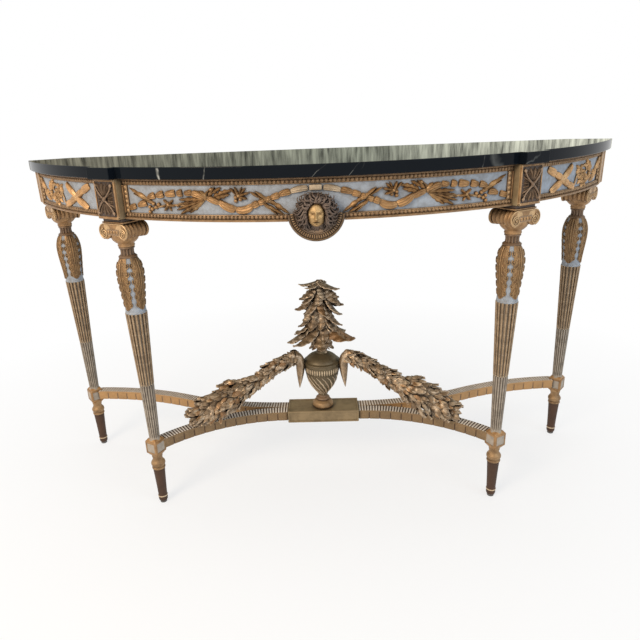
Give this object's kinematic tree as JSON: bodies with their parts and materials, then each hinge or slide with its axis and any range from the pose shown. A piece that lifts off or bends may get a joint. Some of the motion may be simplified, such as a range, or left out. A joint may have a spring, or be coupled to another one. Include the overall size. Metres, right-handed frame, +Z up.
{
  "type": "demilune console table",
  "caption": "Bow-fronted console table: polished stone top on a carved frieze, turned reeded legs, curved stretcher with an urn and leaf garlands.",
  "frame": {"origin": "on the floor, under the middle of the table's bounding box", "axes": "+X along the table's width to the viewer's right, +Y to the wall behind, +Z up; the bowed front looks to -Y"},
  "size_m": [1.5786, 0.556, 0.893],
  "materials": {
    "marble": "near-black polished marble with a few thin white veins",
    "painted_ground": "aged pale blue-grey paint on the wooden frieze",
    "plain_wood": "plain unpainted wood on hidden faces",
    "dark_carving": "dark brown-bronze carved plaque",
    "mask_gilt": "gilded face with dark bronze hair",
    "iron": "dull grey iron",
    "dark_foot": "dark brown stained foot",
    "leaf_bronze": "carved leaves in dull bronze gilding",
    "stretcher_gilt": "worn brown gilding",
    "urn_gilt": "olive-brown bronze gilding with pale rubbed lines",
    "gilt": "worn warm gilding on carved wood"
  },
  "bodies": {
    "table": {"arm_dowels": "plain_wood", "back_left_arm": "stretcher_gilt", "back_left_block": "gilt", "back_left_capital": "gilt", "back_left_collar": "gilt", "back_left_die": "gilt", "back_left_foot": "dark_foot", "back_left_shaft": "gilt", "back_rail": "plain_wood", "back_right_arm": "stretcher_gilt", "back_right_block": "gilt", "back_right_capital": "gilt", "back_right_collar": "gilt", "back_right_die": "gilt", "back_right_foot": "dark_foot", "back_right_shaft": "gilt", "block_dowels": "plain_wood", "capital_dowels": "plain_wood", "end_mouldings": "gilt", "foliage_finial": "leaf_bronze", "foot_dowels": "plain_wood", "foot_glides": "iron", "front_left_arm": "stretcher_gilt", "front_left_block": "gilt", "front_left_capital": "gilt", "front_left_collar": "gilt", "front_left_die": "gilt", "front_left_foot": "dark_foot", "front_left_lower_moulding": "gilt", "front_left_rosette": "dark_carving", "front_left_shaft": "gilt", "front_rail": "painted_ground", "front_right_arm": "stretcher_gilt", "front_right_block": "gilt", "front_right_capital": "gilt", "front_right_collar": "gilt", "front_right_die": "gilt", "front_right_foot": "dark_foot", "front_right_lower_moulding": "gilt", "front_right_rosette": "dark_carving", "front_right_shaft": "gilt", "front_upper_moulding": "gilt", "left_garland": "leaf_bronze", "left_garland_drop": "leaf_bronze", "left_lower_moulding": "gilt", "left_side_rail": "painted_ground", "left_upper_moulding": "gilt", "mask_head": "mask_gilt", "medallion": "gilt", "right_garland": "leaf_bronze", "right_garland_drop": "leaf_bronze", "right_lower_moulding": "gilt", "right_side_rail": "painted_ground", "right_upper_moulding": "gilt", "stretcher_plinth": "stretcher_gilt", "urn_body": "urn_gilt", "urn_foot": "urn_gilt", "urn_lid": "urn_gilt", "urn_rod": "iron"},
    "top": {"marble_top": "marble"}
  },
  "joints": [
    {"name": "top_lift", "type": "slide", "parent": "table", "child": "top", "axis": [0, 0, 1], "range_m": [0, 0.1]}
  ]
}
